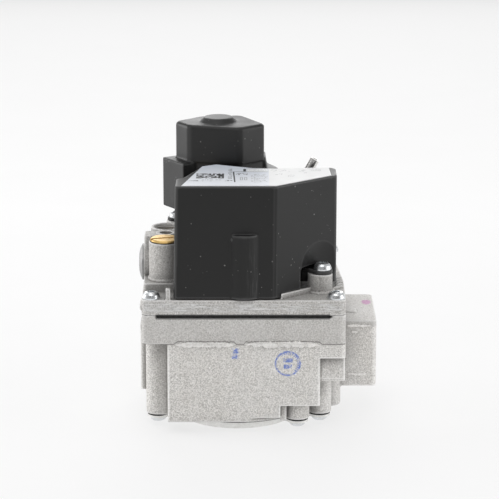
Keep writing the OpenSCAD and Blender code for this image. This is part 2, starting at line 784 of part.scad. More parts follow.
module low_regulator_cap() color("#c99a3a") difference() {
    union() {
        post([reg_x, low_y], cap_bore_r - run_gap, low_top_z - 3, low_top_z + 1);
        translate([reg_x, low_y, low_top_z + 0.3]) rotate_extrude() polygon([
            [0, 0], [6.8, 0], [6.8, 0.6], [6.2, 1.1], [0, 1.1]
        ]);
    }
    translate([reg_x, low_y, low_top_z + 1.4]) rotate(17) cube([20, 1.6, 1.6], center = true);
}

module low_cap_washer() color("#b9b2a2") difference() {
    post([reg_x, low_y], 6.9, low_top_z, low_top_z + 0.3);
    post([reg_x, low_y], cap_bore_r, low_top_z - 1, low_top_z + 1);
}

module low_adjuster() { adjuster(low_y, low_top_z - adjuster_depth); }

module low_spring_seat() { spring_seat(low_y, low_top_z - adjuster_depth); }

module low_spring() { servo_spring(low_y, low_top_z - adjuster_depth); }

module low_servo_cup() { servo_cup(low_y); }

module low_diaphragm() { servo_diaphragm(low_y); }

module low_retainer() { retainer(low_y); }

module high_adjuster() { adjuster(high_y, reg_top_z - adjuster_depth); }

module high_spring_seat() { spring_seat(high_y, reg_top_z - adjuster_depth); }

module high_spring() { servo_spring(high_y, reg_top_z - adjuster_depth); }

module high_servo_cup() { servo_cup(high_y); }

module high_diaphragm() { servo_diaphragm(high_y); }

module high_retainer() { retainer(high_y); }

module bleed_orifice() color("#b8963e") difference() {
    post([reg_x, bleed_y], bleed_r - 0.02, reg_top_z - 9, reg_top_z - 4);
    post([reg_x, bleed_y], 0.6, reg_top_z - 10, reg_top_z);
    translate([reg_x, bleed_y, reg_top_z - 4]) cube([8, 0.9, 1.6], center = true);
}

module side_port_cap() color("silver") translate([-42.2, bleed_y, side_port_z]) rotate([0, -90, 0]) {
    rotate_extrude() polygon([
        [0, 0], [side_port_r, 0], [side_port_r, 0.7], [side_port_r - 2, 1.6],
        [side_port_r - 4, 2.1], [0, 2.1]
    ]);
    translate([0, 0, -3]) cylinder(h = 3.1, r = 4.58);
}

// Length of straight tube, open at both ends, from z = 0
module tube(length) difference() {
    cylinder(h = length, r = vent_r);
    translate([0, 0, -1]) cylinder(h = length + 2, r = vent_bore_r);
}

// Steel tube, upright and then bent over, its wall a little thinner in the bend
module vent_tube() color("#b4b4b4")
    translate([vent_at[0] + vent_bend_r, vent_at[1], vent_bend_z]) {
        upright_l = vent_bend_z - plate_z - 0.05;
        translate([-vent_bend_r, 0, -upright_l]) tube(upright_l + bend_lap);
        mirror([1, 0, 0]) rotate([90, 0, 0]) rotate_extrude(angle = vent_tilt)
            translate([vent_bend_r, 0]) difference() {
                circle(vent_r - bend_thinning);
                circle(vent_bore_r + bend_thinning);
            }
        rotate([0, vent_tilt, 0]) translate([-vent_bend_r, 0, -bend_lap]) tube(vent_end_l + bend_lap);
    }

// ---------------------------------------------------------------- output

valve_body();
top_plate();
plate_gasket();
plate_screws();
bottom_cover();
bottom_screws();
main_diaphragm();
diaphragm_plate();
diaphragm_washer();
main_stem();
main_poppet();
poppet_seal();
main_spring();
inlet_screen();
inlet_tap_plug();
outlet_tap_plug();
control_cover();
cover_label();
cover_screw();
coil_cover();
coil_cover_screw();
connector_pins();
main_guide_tube();
main_core();
main_plunger();
main_plunger_seal();
main_plunger_spring();
main_bobbin();
main_winding();
main_magnet_frame();
stage_guide_tube();
stage_core();
stage_plunger();
stage_plunger_seal();
stage_plunger_spring();
stage_bobbin();
stage_winding();
stage_magnet_frame();
low_regulator_cap();
low_cap_washer();
low_adjuster();
low_spring_seat();
low_spring();
low_servo_cup();
low_diaphragm();
low_retainer();
high_adjuster();
high_spring_seat();
high_spring();
high_servo_cup();
high_diaphragm();
high_retainer();
bleed_orifice();
side_port_cap();
vent_tube();
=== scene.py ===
"""Looks of the two-stage gas valve: materials, casting detail, springs, label, light and camera."""

import math
import random

import bmesh
import bpy
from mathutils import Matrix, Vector, noise


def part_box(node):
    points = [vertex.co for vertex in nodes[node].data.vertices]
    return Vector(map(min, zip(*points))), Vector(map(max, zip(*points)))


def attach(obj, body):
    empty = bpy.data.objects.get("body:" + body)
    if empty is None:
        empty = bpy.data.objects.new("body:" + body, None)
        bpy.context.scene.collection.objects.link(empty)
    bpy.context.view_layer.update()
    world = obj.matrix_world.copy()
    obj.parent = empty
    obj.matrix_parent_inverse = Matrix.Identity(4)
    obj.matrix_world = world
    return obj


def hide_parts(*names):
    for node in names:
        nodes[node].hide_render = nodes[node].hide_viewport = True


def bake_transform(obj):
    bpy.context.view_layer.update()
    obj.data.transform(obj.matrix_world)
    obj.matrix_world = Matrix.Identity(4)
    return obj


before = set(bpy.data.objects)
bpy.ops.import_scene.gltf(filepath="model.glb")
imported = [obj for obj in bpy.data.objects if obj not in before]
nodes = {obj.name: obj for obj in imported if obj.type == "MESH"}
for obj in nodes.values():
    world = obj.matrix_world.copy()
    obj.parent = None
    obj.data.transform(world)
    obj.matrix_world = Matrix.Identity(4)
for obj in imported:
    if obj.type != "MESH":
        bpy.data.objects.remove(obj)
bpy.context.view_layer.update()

MM = 0.001


def node_box(name):
    """Lowest and highest corner of a CAD node, in metres."""
    low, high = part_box(name)
    return Vector(low), Vector(high)


plate_low, plate_high = node_box("top_plate")
body_low, body_high = node_box("valve_body")
gasket_low, gasket_high = node_box("plate_gasket")
cover_low, cover_high = node_box("control_cover")
label_low, label_high = node_box("cover_label")
cap_low, cap_high = node_box("low_regulator_cap")

# Lower edge of the body's upper band
band_edge_z = body_low.z + 36.3 * MM
# Side of the pads at the castings' corners, where no gasket shows
CORNER_PAD = 6.9 * MM

# ---------------------------------------------------------------- materials


class Shader:
    """A material in the making: a Principled shader and short ways to add texture nodes to it."""

    def __init__(self, name, **sockets):
        self.material = bpy.data.materials.new(name)
        self.material.use_nodes = True
        self.tree = self.material.node_tree
        self.tree.nodes.clear()
        self.surface = self.add("ShaderNodeBsdfPrincipled")
        output = self.add("ShaderNodeOutputMaterial")
        self.join(self.surface.outputs["BSDF"], output.inputs["Surface"])
        for socket, value in sockets.items():
            self.surface.inputs[socket.replace("_", " ")].default_value = value
        self.place = self.add("ShaderNodeTexCoord").outputs["Object"]

    def add(self, kind):
        return self.tree.nodes.new(kind)

    def join(self, source, socket):
        self.tree.links.new(source, socket)

    def put(self, socket, value):
        """A link if value is another node's output, else a constant."""
        if isinstance(value, bpy.types.NodeSocket):
            self.join(value, socket)
        else:
            socket.default_value = value

    def math(self, operation, a, b=0.0, c=0.0):
        node = self.add("ShaderNodeMath")
        node.operation = operation
        for socket, value in zip(node.inputs, (a, b, c)):
            self.put(socket, value)
        return node.outputs[0]

    def times(self, a, b):
        return self.math("MULTIPLY", a, b)

    def away(self, a, b):
        """How far a is from b, either way."""
        return self.math("ABSOLUTE", self.math("SUBTRACT", a, b))

    def axis(self, name):
        """One coordinate of the object's own space, in metres."""
        node = self.add("ShaderNodeSeparateXYZ")
        self.join(self.place, node.inputs[0])
        return node.outputs[name]

    def stretched(self, x, y, z):
        """Object space scaled along each axis, for streaks."""
        node = self.add("ShaderNodeVectorMath")
        node.operation = "MULTIPLY"
        self.join(self.place, node.inputs[0])
        node.inputs[1].default_value = (x, y, z)
        return node.outputs[0]

    def noise(self, size_mm, detail=2.0, roughness=0.5, where=None):
        node = self.add("ShaderNodeTexNoise")
        self.join(where or self.place, node.inputs["Vector"])
        node.inputs["Scale"].default_value = 1 / (size_mm * MM)
        node.inputs["Detail"].default_value = detail
        node.inputs["Roughness"].default_value = roughness
        return node.outputs["Fac"]

    def cells(self, size_mm, where=None):
        """Distance to the nearest of points scattered about size_mm apart, in cell sizes."""
        node = self.add("ShaderNodeTexVoronoi")
        self.join(where or self.place, node.inputs["Vector"])
        node.inputs["Scale"].default_value = 1 / (size_mm * MM)
        return node.outputs["Distance"]

    def fade(self, value, start, end, low=0.0, high=1.0):
        """value from start to end becomes low to high, held beyond them."""
        node = self.add("ShaderNodeMapRange")
        for socket, given in zip(node.inputs, (value, start, end, low, high)):
            self.put(socket, given)
        return node.outputs[0]

    def mix(self, amount, a, b, blend="MIX"):
        node = self.add("ShaderNodeMix")
        node.data_type = "RGBA"
        node.blend_type = blend
        self.put(node.inputs["Factor"], amount)
        self.put(node.inputs[6], a)
        self.put(node.inputs[7], b)
        return node.outputs[2]

    def colour(self, value):
        self.put(self.surface.inputs["Base Color"], value)

    def rough(self, value):
        self.put(self.surface.inputs["Roughness"], value)

    def bump(self, height, depth_mm, over=None):
        node = self.add("ShaderNodeBump")
        node.inputs["Strength"].default_value = 1
        node.inputs["Distance"].default_value = depth_mm * MM
        self.join(height, node.inputs["Height"])
        if over:
            self.join(over, node.inputs["Normal"])
        self.join(node.outputs[0], self.surface.inputs["Normal"])
        return node.outputs[0]

    def curvature(self):
        """Above 0.5 on outer corners, below on inner ones; for closely divided meshes."""
        return self.add("ShaderNodeNewGeometry").outputs["Pointiness"]

    def shelter(self, reach_mm):
        """1 in the open, towards 0 in corners and beside walls nearer than reach_mm."""
        node = self.add("ShaderNodeAmbientOcclusion")
        node.samples = 6
        node.inputs["Distance"].default_value = reach_mm * MM
        return node.outputs["AO"]

    def near(self, spot, reach, flatten=(1, 1, 1)):
        """1 at spot, 0 at reach and beyond, both in metres."""
        gap = self.add("ShaderNodeVectorMath")
        gap.operation = "DISTANCE"
        self.join(self.stretched(*flatten), gap.inputs[0])
        gap.inputs[1].default_value = [s * f for s, f in zip(spot, flatten)]
        return self.fade(gap.outputs["Value"], reach, 0)


def grey(value, warmth=0.0):
    """A linear colour, a little redder and less blue with warmth."""
    return (value * (1 + warmth), value, value * (1 - 1.4 * warmth), 1)


def cast_base(name, tone, ink_wear_and_painted_corners=True):
    """Die-cast aluminium: speckle, soft blotches, pits, a grainy skin and a dark band along the gasket
    joint.

    ink_wear_and_painted_corners paints a highlight on outer corners and painted shade in inner corners
    and beside walls, for closely divided meshes only.
    """
    s = Shader(name, Metallic=0.15, Specular_IOR_Level=0.35)
    grain = s.noise(0.62, 2, 0.7)
    blotch = s.noise(7, 3, 0.5)
    flow = s.noise(16, 2, 0.5, s.stretched(1, 1, 0.35))
    base = s.mix(s.fade(grain, 0.36, 0.64), grey(tone * 0.68, 0.035), grey(min(0.95, tone * 1.3), 0.022))
    base = s.mix(s.fade(blotch, 0.3, 0.75, 0, 0.3), base, grey(tone * 0.84, 0.04))
    base = s.mix(s.fade(flow, 0.45, 0.7, 0, 0.25), base, grey(tone * 1.2, 0.0))
    pits = s.fade(s.cells(2.2), 0.2, 0.08)
    base = s.mix(s.times(pits, 0.4), base, grey(tone * 0.42, 0.03))
    chips = s.fade(s.cells(1.4, where=s.stretched(1, 1, 1.02)), 0.24, 0.12)
    base = s.mix(s.times(chips, 0.7), base, grey(min(0.97, tone * 1.6), 0.01))
    if ink_wear_and_painted_corners:
        # Painted highlight on outer corners; painted shade in inner corners and where walls are near
        curve = s.curvature()
        base = s.mix(s.fade(curve, 0.506, 0.53, 0, 0.85), base, grey(min(0.97, tone * 1.45), 0.01))
        base = s.mix(s.fade(curve, 0.494, 0.47, 0, 0.8), base, grey(tone * 0.26, 0.06))
        base = s.mix(s.fade(s.shelter(12), 0.95, 0.35, 0, 0.7), base, grey(tone * 0.36, 0.02))
    # A dark band along the gasket joint, ragged with the grain and kept off the corner pads
    off_joint = s.away(s.axis("Z"), (gasket_low.z + gasket_high.z) / 2)
    uneven = s.math("ADD", off_joint, s.times(grain, 0.4 * MM))
    joint_darkening = s.fade(uneven, 1.55 * MM, 1.25 * MM, 0, 0.85)
    middle = (plate_low + plate_high) / 2
    reach = (plate_high - plate_low) / 2 - Vector.Fill(3, CORNER_PAD)
    clear = [
        s.fade(s.away(s.axis(name), centre), half, half - 0.4 * MM)
        for name, centre, half in (("X", middle.x, reach.x), ("Y", middle.y, reach.y))
    ]
    joint_darkening = s.times(joint_darkening, s.math("MAXIMUM", *clear))
    base = s.mix(joint_darkening, base, grey(0.03, 0.02))
    s.rough(s.fade(grain, 0.3, 0.7, 0.74, 0.52))
    height = s.math("ADD", grain, s.times(s.noise(2.6, 2, 0.5), 0.8))
    skin = s.bump(s.math("SUBTRACT", height, pits), 0.16)
    return s, base, skin


def cast_plate():
    """The top plate's casting, milled in streaks along its front face."""
    s, base, skin = cast_base("cast_plate", 0.54)
    up = s.axis("Z")
    lowest = gasket_high.z
    inside = s.times(
        s.fade(up, lowest + 1.3 * MM, lowest + 1.9 * MM),
        s.fade(up, lowest + 5.6 * MM, lowest + 5.0 * MM),
    )
    front = s.fade(s.axis("Y"), plate_low.y + 0.9 * MM, plate_low.y + 0.6 * MM)
    streak = s.noise(1, 3, 0.7, s.stretched(0.14, 1, 1.3))
    band = s.times(s.times(inside, front), s.fade(streak, 0.42, 0.58))
    base = s.mix(s.times(band, 0.65), base, grey(0.86, 0.0))
    s.colour(base)
    s.bump(s.times(band, streak), 0.3, skin)
    return s.material


# Ink marks on the front of the body, as x and height above the floor, and the stamp's ring
STAMP = (0.0225, 0.0337)
STAMP_R = 0.0054
STROKE_R = STAMP_R * 0.9
# The upper and the lower row of blots in the stamp, as height above its centre and half width in mm
STAMP_ROWS = ((0.0015, 2.0), (-0.0014, 1.7))
# Where flash was trimmed along the parting line, as mm of x
TRIMMED = ((-27, -1.4), (4, 36.6))
MARK = (-0.0008, 0.0383)
# A dab of paint on top of the inlet boss
PAINT_DOT = (0.0597, 0.0225, 0.0457)


def cast_body():
    """The body's casting with a round ink stamp, a smaller ink mark and a dab of pink paint."""
    s, base, _ = cast_base("cast_body", 0.7)
    x, z = s.axis("X"), s.axis("Z")
    # Painted shade: the body's upper band made darker than the block below it
    painted_band_shade = s.fade(z, band_edge_z - 0.3 * MM, band_edge_z + 0.6 * MM, 0, 0.4)
    base = s.mix(painted_band_shade, base, grey(0.42, 0.02))
    front = s.fade(s.axis("Y"), body_low.y + 1.6 * MM, body_low.y + 1.2 * MM)
    # A dark painted shadow line along the parting line, lifted and broken above the flash where it was
    # trimmed
    ragged = s.math("MAXIMUM", *(
        s.times(s.fade(x, (a - 1) * MM, a * MM), s.fade(x, (b + 1) * MM, b * MM))
        for a, b in TRIMMED
    ))
    wander = s.math("ADD", s.times(s.noise(2.2, 2, 0.6, s.stretched(1, 0, 0)), 2.2), 0.1)
    line = s.math("ADD", s.times(ragged, s.times(wander, MM)), band_edge_z)
    painted_shadow_line = s.fade(s.away(z, line), 0.42 * MM, 0.2 * MM, 0, 0.7)
    base = s.mix(s.times(painted_shadow_line, front), base, grey(0.14, 0.05))
    dx = s.math("SUBTRACT", x, STAMP[0])
    dz = s.math("SUBTRACT", z, STAMP[1])
    radius = s.math("SQRT", s.math("ADD", s.times(dx, dx), s.times(dz, dz)))
    angle = s.math("ARCTAN2", dz, dx)
    off_ring = s.away(radius, STAMP_R)
    ring = s.fade(off_ring, 0.5 * MM, 0.28 * MM)
    # Short strokes around the inside of the upper right of the ring
    strokes = s.math("GREATER_THAN", s.math("SINE", s.times(angle, 30)), 0.0)
    stroke_band = s.fade(s.away(radius, STROKE_R), 0.8 * MM, 0.6 * MM)
    side = s.fade(s.math("ADD", dx, s.times(dz, 0.7)), -0.5 * MM, 0.8 * MM)
    strokes = s.times(s.times(strokes, stroke_band), side)
    # Two rows of blots in the middle
    blots = s.fade(s.noise(1.0, 1, 0.5, s.stretched(1, 0, 1.2)), 0.37, 0.45)
    rows = s.math("MAXIMUM", *(ink_row(s, dx, dz, height, half) for height, half in STAMP_ROWS))
    ink = s.math("MAXIMUM", s.math("MAXIMUM", ring, strokes), s.times(blots, rows))
    # The separate mark: a few blots, one under another
    across = s.fade(s.away(x, MARK[0]), 1.7 * MM, 1.4 * MM)
    tall = s.fade(s.away(z, MARK[1]), 2.6 * MM, 2.3 * MM)
    smudge = s.fade(s.noise(1.7, 1, 0.5, s.stretched(1, 0, 1)), 0.42, 0.47)
    ink = s.math("MAXIMUM", ink, s.times(s.times(across, tall), smudge))
    ink_wear_and_painted_corners = s.fade(s.noise(1.1, 2, 0.6), 0.36, 0.54, 0.2, 1)
    ink = s.times(s.times(ink, ink_wear_and_painted_corners), s.times(front, 0.9))
    base = s.mix(ink, base, (0.13, 0.22, 0.62, 1))
    dab = s.near(PAINT_DOT, 2.9 * MM, (1, 0.55, 0.4))
    dab = s.fade(s.math("ADD", dab, s.times(s.noise(1.2), 0.5)), 0.4, 0.65, 0, 0.75)
    base = s.mix(dab, base, (0.5, 0.2, 0.42, 1))
    s.colour(base)
    return s.material


def flash_metal():
    """Bright torn metal where the casting's flash was trimmed off."""
    s, base, _ = cast_base("flash_metal", 0.96, ink_wear_and_painted_corners=False)
    torn = s.fade(s.noise(0.9, 2, 0.6), 0.4, 0.6, 0.2, 0.75)
    s.colour(s.mix(torn, base, grey(0.98, 0.01)))
    return s.material


def ink_row(s, dx, dz, height, half_mm):
    """1 inside a low box centred at height above the stamp's centre."""
    across = s.fade(s.math("ABSOLUTE", dx), (half_mm + 0.2) * MM, half_mm * MM)
    up = s.fade(s.away(dz, height), 1.05 * MM, 0.85 * MM)
    return s.times(across, up)


def black_plastic(name, tone, dust, gloss, scuffs_and_edge_highlight=False):
    """Moulded black plastic: fine grain, a slight haze and pale dust specks.

    scuffs_and_edge_highlight adds scuffs along the control cover's front rib and a painted highlight on
    the outer corners.
    """
    s = Shader(name, Specular_IOR_Level=gloss)
    haze = s.noise(14, 3, 0.5)
    base = s.mix(s.fade(haze, 0.3, 0.7), grey(tone * 0.85), grey(tone * 1.25, 0.01))
    fine = s.fade(s.cells(1.9, where=s.stretched(1, 1, 0.7)), 0.13, 0.08)
    speck = s.times(fine, s.fade(s.noise(6, 1), 0.54, 0.62))
    coarse = s.times(s.fade(s.cells(4.6), 0.085, 0.06), s.fade(s.noise(9, 1), 0.5, 0.6))
    marks = s.times(s.math("MAXIMUM", speck, coarse), dust)
    base = s.mix(marks, base, grey(0.3, 0.02))
    if scuffs_and_edge_highlight:
        strands = s.fade(s.noise(0.9, 2, 0.6, s.stretched(1, 1, 0.08)), 0.5, 0.68)
        x, z = s.axis("X"), s.axis("Z")
        side = s.times(s.fade(x, 4.0 * MM, 6.5 * MM), s.fade(x, 9.5 * MM, 8.6 * MM))
        low = s.fade(z, cover_low.z + 29 * MM, cover_low.z + 12 * MM)
        front = s.fade(s.axis("Y"), cover_low.y + 4 * MM, cover_low.y + 3 * MM)
        where = s.times(s.times(side, low), front)
        base = s.mix(s.times(s.times(strands, where), 0.35), base, grey(0.1))
        # Painted highlight: outer corners of the cover made paler
        base = s.mix(s.fade(s.curvature(), 0.504, 0.522, 0, 0.7), base, grey(0.07))
    s.colour(base)
    s.rough(s.fade(haze, 0.3, 0.7, 0.4, 0.52))
    grain = s.math("ADD", s.noise(0.35, 1), s.times(s.noise(3, 1), 0.5))
    s.bump(grain, 0.025)
    return s.material


def plated(name, tone, tint, rough, streak_axis=None):
    """Bright plated or drawn steel with faint stains and fine turning or drawing lines."""
    s = Shader(name, Metallic=1)
    stain = s.noise(2.5, 3, 0.6)
    clean = (tone * tint[0], tone * tint[1], tone * tint[2], 1)
    s.colour(s.mix(s.fade(stain, 0.35, 0.75, 0, 0.5), clean, grey(tone * 0.7, 0.03)))
    scale = {"Z": (0.3, 0.3, 6), "X": (6, 0.3, 0.3), None: (2, 2, 2)}[streak_axis]
    line = s.noise(1, 2, 0.6, s.stretched(*scale))
    s.rough(s.fade(line, 0.3, 0.7, rough * 0.75, rough * 1.3))
    s.bump(line, 0.008)
    return s.material


def turned_brass():
    """Lathe-turned brass with rings about each tower's axis, browner where it is handled."""
    s = Shader("turned_brass", Metallic=1)
    centre = (cap_low + cap_high) / 2
    dx = s.math("SUBTRACT", s.axis("X"), centre.x)
    dy = s.math("SUBTRACT", s.axis("Y"), centre.y)
    radius = s.math("SQRT", s.math("ADD", s.times(dx, dx), s.times(dy, dy)))
    rings = s.math("SINE", s.times(radius, 2 * math.pi / (0.45 * MM)))
    tarnish = s.fade(s.noise(2, 3, 0.6), 0.4, 0.7, 0, 0.55)
    s.colour(s.mix(tarnish, (0.74, 0.52, 0.21, 1), (0.54, 0.32, 0.1, 1)))
    s.rough(s.fade(s.noise(0.8, 2), 0.3, 0.7, 0.34, 0.48))
    s.bump(rings, 0.012)
    return s.material


def rubber(name, tone):
    """Dull black rubber or gasket sheet."""
    s = Shader(name, Roughness=0.75)
    s.colour(s.mix(s.fade(s.noise(1.1, 3), 0.35, 0.7), grey(tone * 0.7), grey(tone * 1.5, 0.02)))
    s.bump(s.noise(0.5, 2), 0.05)
    return s.material


def nylon():
    """The bobbins' off-white nylon."""
    s = Shader("nylon", Roughness=0.5, Subsurface_Weight=0.1)
    s.colour(s.mix(s.noise(4, 2), (0.72, 0.68, 0.56, 1), (0.82, 0.79, 0.7, 1)))
    s.bump(s.noise(0.8, 2), 0.02)
    return s.material


def winding():
    """Enamelled copper wire, laid in turns along the coil."""
    s = Shader("winding", Metallic=0.9)
    turns = s.math("SINE", s.times(s.axis("Z"), 2 * math.pi / (0.4 * MM)))
    s.colour(s.mix(s.fade(turns, -1, 0.4), (0.16, 0.05, 0.02, 1), (0.62, 0.25, 0.1, 1)))
    s.rough(s.fade(s.noise(3), 0.3, 0.7, 0.3, 0.45))
    s.bump(turns, 0.1)
    return s.material


def label_film():
    """Satin white film, its left part under a faint blue-grey tint."""
    s = Shader("label_film", Specular_IOR_Level=0.3)
    tint = s.fade(s.axis("X"), 14.2 * MM, 14.0 * MM)
    depth = s.fade(s.axis("Y"), label_low.y, label_high.y)
    left = s.mix(depth, (0.72, 0.74, 0.78, 1), (0.52, 0.56, 0.63, 1))
    base = s.mix(tint, grey(0.74), left)
    s.colour(s.mix(s.fade(s.noise(12, 3), 0.3, 0.7, 0, 0.2), base, grey(0.7, -0.01)))
    s.rough(s.fade(s.noise(5, 3), 0.3, 0.7, 0.45, 0.6))
    s.bump(s.noise(3, 1), 0.015)
    return s.material


def print_ink(name, tone):
    """One shade of the label's print."""
    s = Shader(name, Roughness=0.5)
    s.colour(s.mix(s.fade(s.noise(0.5, 2), 0.35, 0.65), grey(tone, -0.02), grey(tone * 1.7, -0.02)))
    return s.material


CAST_PLATE = cast_plate()
CAST_BODY = cast_body()
FLASH_METAL = flash_metal()
COVER_PLASTIC = black_plastic("cover_plastic", 0.0075, 0.5, 0.4, scuffs_and_edge_highlight=True)
COIL_PLASTIC = black_plastic("coil_plastic", 0.0095, 0.35, 0.48)
ZINC = plated("zinc_plate", 0.8, (0.97, 1.0, 1.03), 0.3)
STEEL = plated("plated_steel", 0.7, (1.0, 1.0, 0.99), 0.34)
TUBE_STEEL = plated("tube_steel", 0.78, (1.01, 1.0, 0.98), 0.3, "Z")
SPRING_STEEL = plated("spring_steel", 0.5, (1, 1, 1.02), 0.3)
PALE_STEEL = plated("pale_steel", 0.86, (1.0, 1.0, 0.98), 0.5)
DULL_STEEL = plated("dull_steel", 0.4, (1.0, 1.0, 1.0), 0.5)
TURNED = plated("turned_aluminium", 0.7, (1.0, 1.0, 1.0), 0.35)
BRASS = turned_brass()
GASKET = rubber("gasket_sheet", 0.035)
RUBBER = rubber("diaphragm_rubber", 0.012)
NYLON = nylon()
WINDING = winding()
FILM = label_film()
INK = print_ink("label_ink", 0.015)
PALE_INK = print_ink("label_pale_ink", 0.25)
WHITE_INK = print_ink("label_white_ink", 0.5)

MATERIALS = {
    CAST_BODY: ["valve_body"],
    CAST_PLATE: ["top_plate"],
    COVER_PLASTIC: ["control_cover"],
    COIL_PLASTIC: ["coil_cover"],
    ZINC: ["plate_screws", "bottom_screws", "cover_screw", "coil_cover_screw"],
    STEEL: [
        "diaphragm_plate", "diaphragm_washer", "main_core", "stage_core", "main_plunger",
        "stage_plunger", "main_magnet_frame", "stage_magnet_frame", "low_spring_seat",
        "high_spring_seat", "inlet_tap_plug", "outlet_tap_plug",
    ],
    PALE_STEEL: ["bottom_cover"],
    TUBE_STEEL: ["vent_tube"],
    SPRING_STEEL: [
        "main_spring", "low_spring", "high_spring", "main_plunger_spring", "stage_plunger_spring",
        "main_guide_tube", "stage_guide_tube", "inlet_screen",
    ],
    TURNED: [
        "main_poppet", "low_servo_cup", "high_servo_cup", "low_retainer", "high_retainer",
    ],
    DULL_STEEL: ["side_port_cap"],
    BRASS: [
        "low_regulator_cap", "low_adjuster", "high_adjuster", "bleed_orifice", "main_stem",
        "connector_pins",
    ],
    GASKET: ["plate_gasket", "low_cap_washer"],
    RUBBER: [
        "main_diaphragm", "poppet_seal", "low_diaphragm", "high_diaphragm", "main_plunger_seal",
        "stage_plunger_seal",
    ],
    NYLON: ["main_bobbin", "stage_bobbin"],
    WINDING: ["main_winding", "stage_winding"],
    FILM: ["cover_label"],
}
for material, names in MATERIALS.items():
    for name in names:
        slots = nodes[name].data.materials
        slots.clear()
        slots.append(material)

# ---------------------------------------------------------------- edges of the CAD pieces


def weld(piece):
    """Joins the CAD mesh's split vertices."""
    modifier = piece.modifiers.new("weld", "WELD")
    modifier.merge_threshold = 0.002 * MM


def soften(name, voxel_mm, passes):
    """Rounds every inner and outer corner of a cast or moulded piece."""
    piece = nodes[name]
    weld(piece)
    remesh = piece.modifiers.new("skin", "REMESH")
    remesh.mode = "VOXEL"
    remesh.voxel_size = voxel_mm * MM
    remesh.use_smooth_shade = True
    smooth = piece.modifiers.new("flow", "SMOOTH")
    smooth.factor = 0.5
    smooth.iterations = passes


def bevel_edges(name, width_mm):
    """Rounds a piece's sharp edges by a small radius."""
    piece = nodes[name]
    weld(piece)
    planes = piece.modifiers.new("planes", "DECIMATE")
    planes.decimate_type = "DISSOLVE"
    planes.angle_limit = math.radians(0.5)
    bevel = piece.modifiers.new("bevel", "BEVEL")
    bevel.width = width_mm * MM
    bevel.segments = 3
    bevel.limit_method = "ANGLE"
    bevel.angle_limit = math.radians(30)
    bevel.harden_normals = True


# Node, voxel size in mm and smoothing passes
SOFTENED = (
    ("valve_body", 0.4, 1),
    ("top_plate", 0.35, 1),
    ("control_cover", 0.45, 3),
    ("coil_cover", 0.45, 8),
)
for name, voxel_mm, passes in SOFTENED:
    soften(name, voxel_mm, passes)
bevel_edges("low_regulator_cap", 0.15)

# ---------------------------------------------------------------- pieces drawn in Blender


def add_piece(name, mesh, material):
    """Adds a smooth-shaded mesh piece, not yet on a body."""
    piece = bpy.data.objects.new(name, mesh)
    bpy.context.collection.objects.link(piece)
    mesh.materials.append(material)
    for face in mesh.polygons:
        face.use_smooth = True
    return piece


def make(name, mesh, material, body):
    """Adds a mesh piece that rides on a body."""
    piece = add_piece(name, mesh, material)
    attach(piece, body)
    return piece


def grid_mesh(name, rows, closed=False):
    """A mesh from rows of points, each row joined to the next."""
    bm = bmesh.new()
    verts = [[bm.verts.new(p) for p in row] for row in rows]
    for upper, lower in zip(verts, verts[1:]):
        count = len(upper)
        for i in range(count if closed else count - 1):
            j = (i + 1) % count
            bm.faces.new((upper[i], upper[j], lower[j], lower[i]))
    if closed:
        bm.faces.new(verts[0])
        bm.faces.new(reversed(verts[-1]))
    bmesh.ops.recalc_face_normals(bm, faces=bm.faces)
    mesh = bpy.data.meshes.new(name)
    bm.to_mesh(mesh)
    bm.free()
    return mesh


def flash_ridge(name, start, end, outward, width_mm, proud_mm, seed):
    """An uneven ridge of casting flash from start to end, standing proud along outward."""
    start, end, outward = Vector(start), Vector(end), Vector(outward)
    along = end - start
    steps = max(12, int(along.length / (0.3 * MM)))
    across = along.normalized().cross(outward)
    rows = []
    for i in range(steps + 1):
        t = i / steps
        middle = start + along * t
        at = Vector((t * along.length / MM, seed, 0))
        ends = min(1, 8 * t, 8 * (1 - t)) * 0.9 + 0.1
        wide = width_mm * (1 + 0.55 * noise.noise(at * 0.6) + 0.5 * noise.noise(at * 2.1)) * ends
        high = proud_mm * (1 + 0.6 * noise.noise(at * 0.9 + Vector((0, 9, 0)))) * ends
        shift = 0.25 * width_mm * noise.noise(at * 0.45 + Vector((0, 21, 0)))
        ring = []
        for k in range(9):
            a = math.pi * k / 8
            lump = 1 + 0.8 * noise.noise(at * 2.6 + Vector((0, 0, 0.7 * k)))
            ring.append(
                middle
                + across * ((shift + wide / 2 * math.cos(a)) * MM)
                + outward * ((high * lump * math.sin(a)) * MM)
            )
        ring.append(middle - outward * 0.3 * MM)
        rows.append(ring)
    make(name, grid_mesh(name, rows, closed=True), FLASH_METAL, "casting")


front_y = body_low.y + 0.15 * MM
# Front face of the inlet boss
boss_y = -8.45 * MM
# Ridges as name, x from and to in mm, y, z, width in mm and how far they stand proud in mm
FLASH = (
    ("flash_left", -27, -1.4, front_y, band_edge_z - 0.3 * MM, 2.2, 0.9),
    ("flash_right", 4, 36.6, front_y, band_edge_z - 0.2 * MM, 2.3, 0.9),
    ("flash_left_edge", -26, -4, front_y, band_edge_z + 0.6 * MM, 0.9, 0.9),
    ("flash_right_edge", 6, 35, front_y, band_edge_z + 0.7 * MM, 0.9, 0.9),
    ("flash_boss_top", 49.2, 60.8, boss_y, 43.2 * MM, 1.1, 0.7),
    ("flash_boss_face", 51.6, 54.6, boss_y, 40.2 * MM, 1.1, 0.6),
    ("flash_boss_foot", 49.4, 59, boss_y, 20.3 * MM, 1.2, 0.7),
)
for seed, (name, x0, x1, y, z, width, proud) in enumerate(FLASH):
    flash_ridge(name, (x0 * MM, y, z), (x1 * MM, y, z), (0, -1, 0), width, proud, seed)


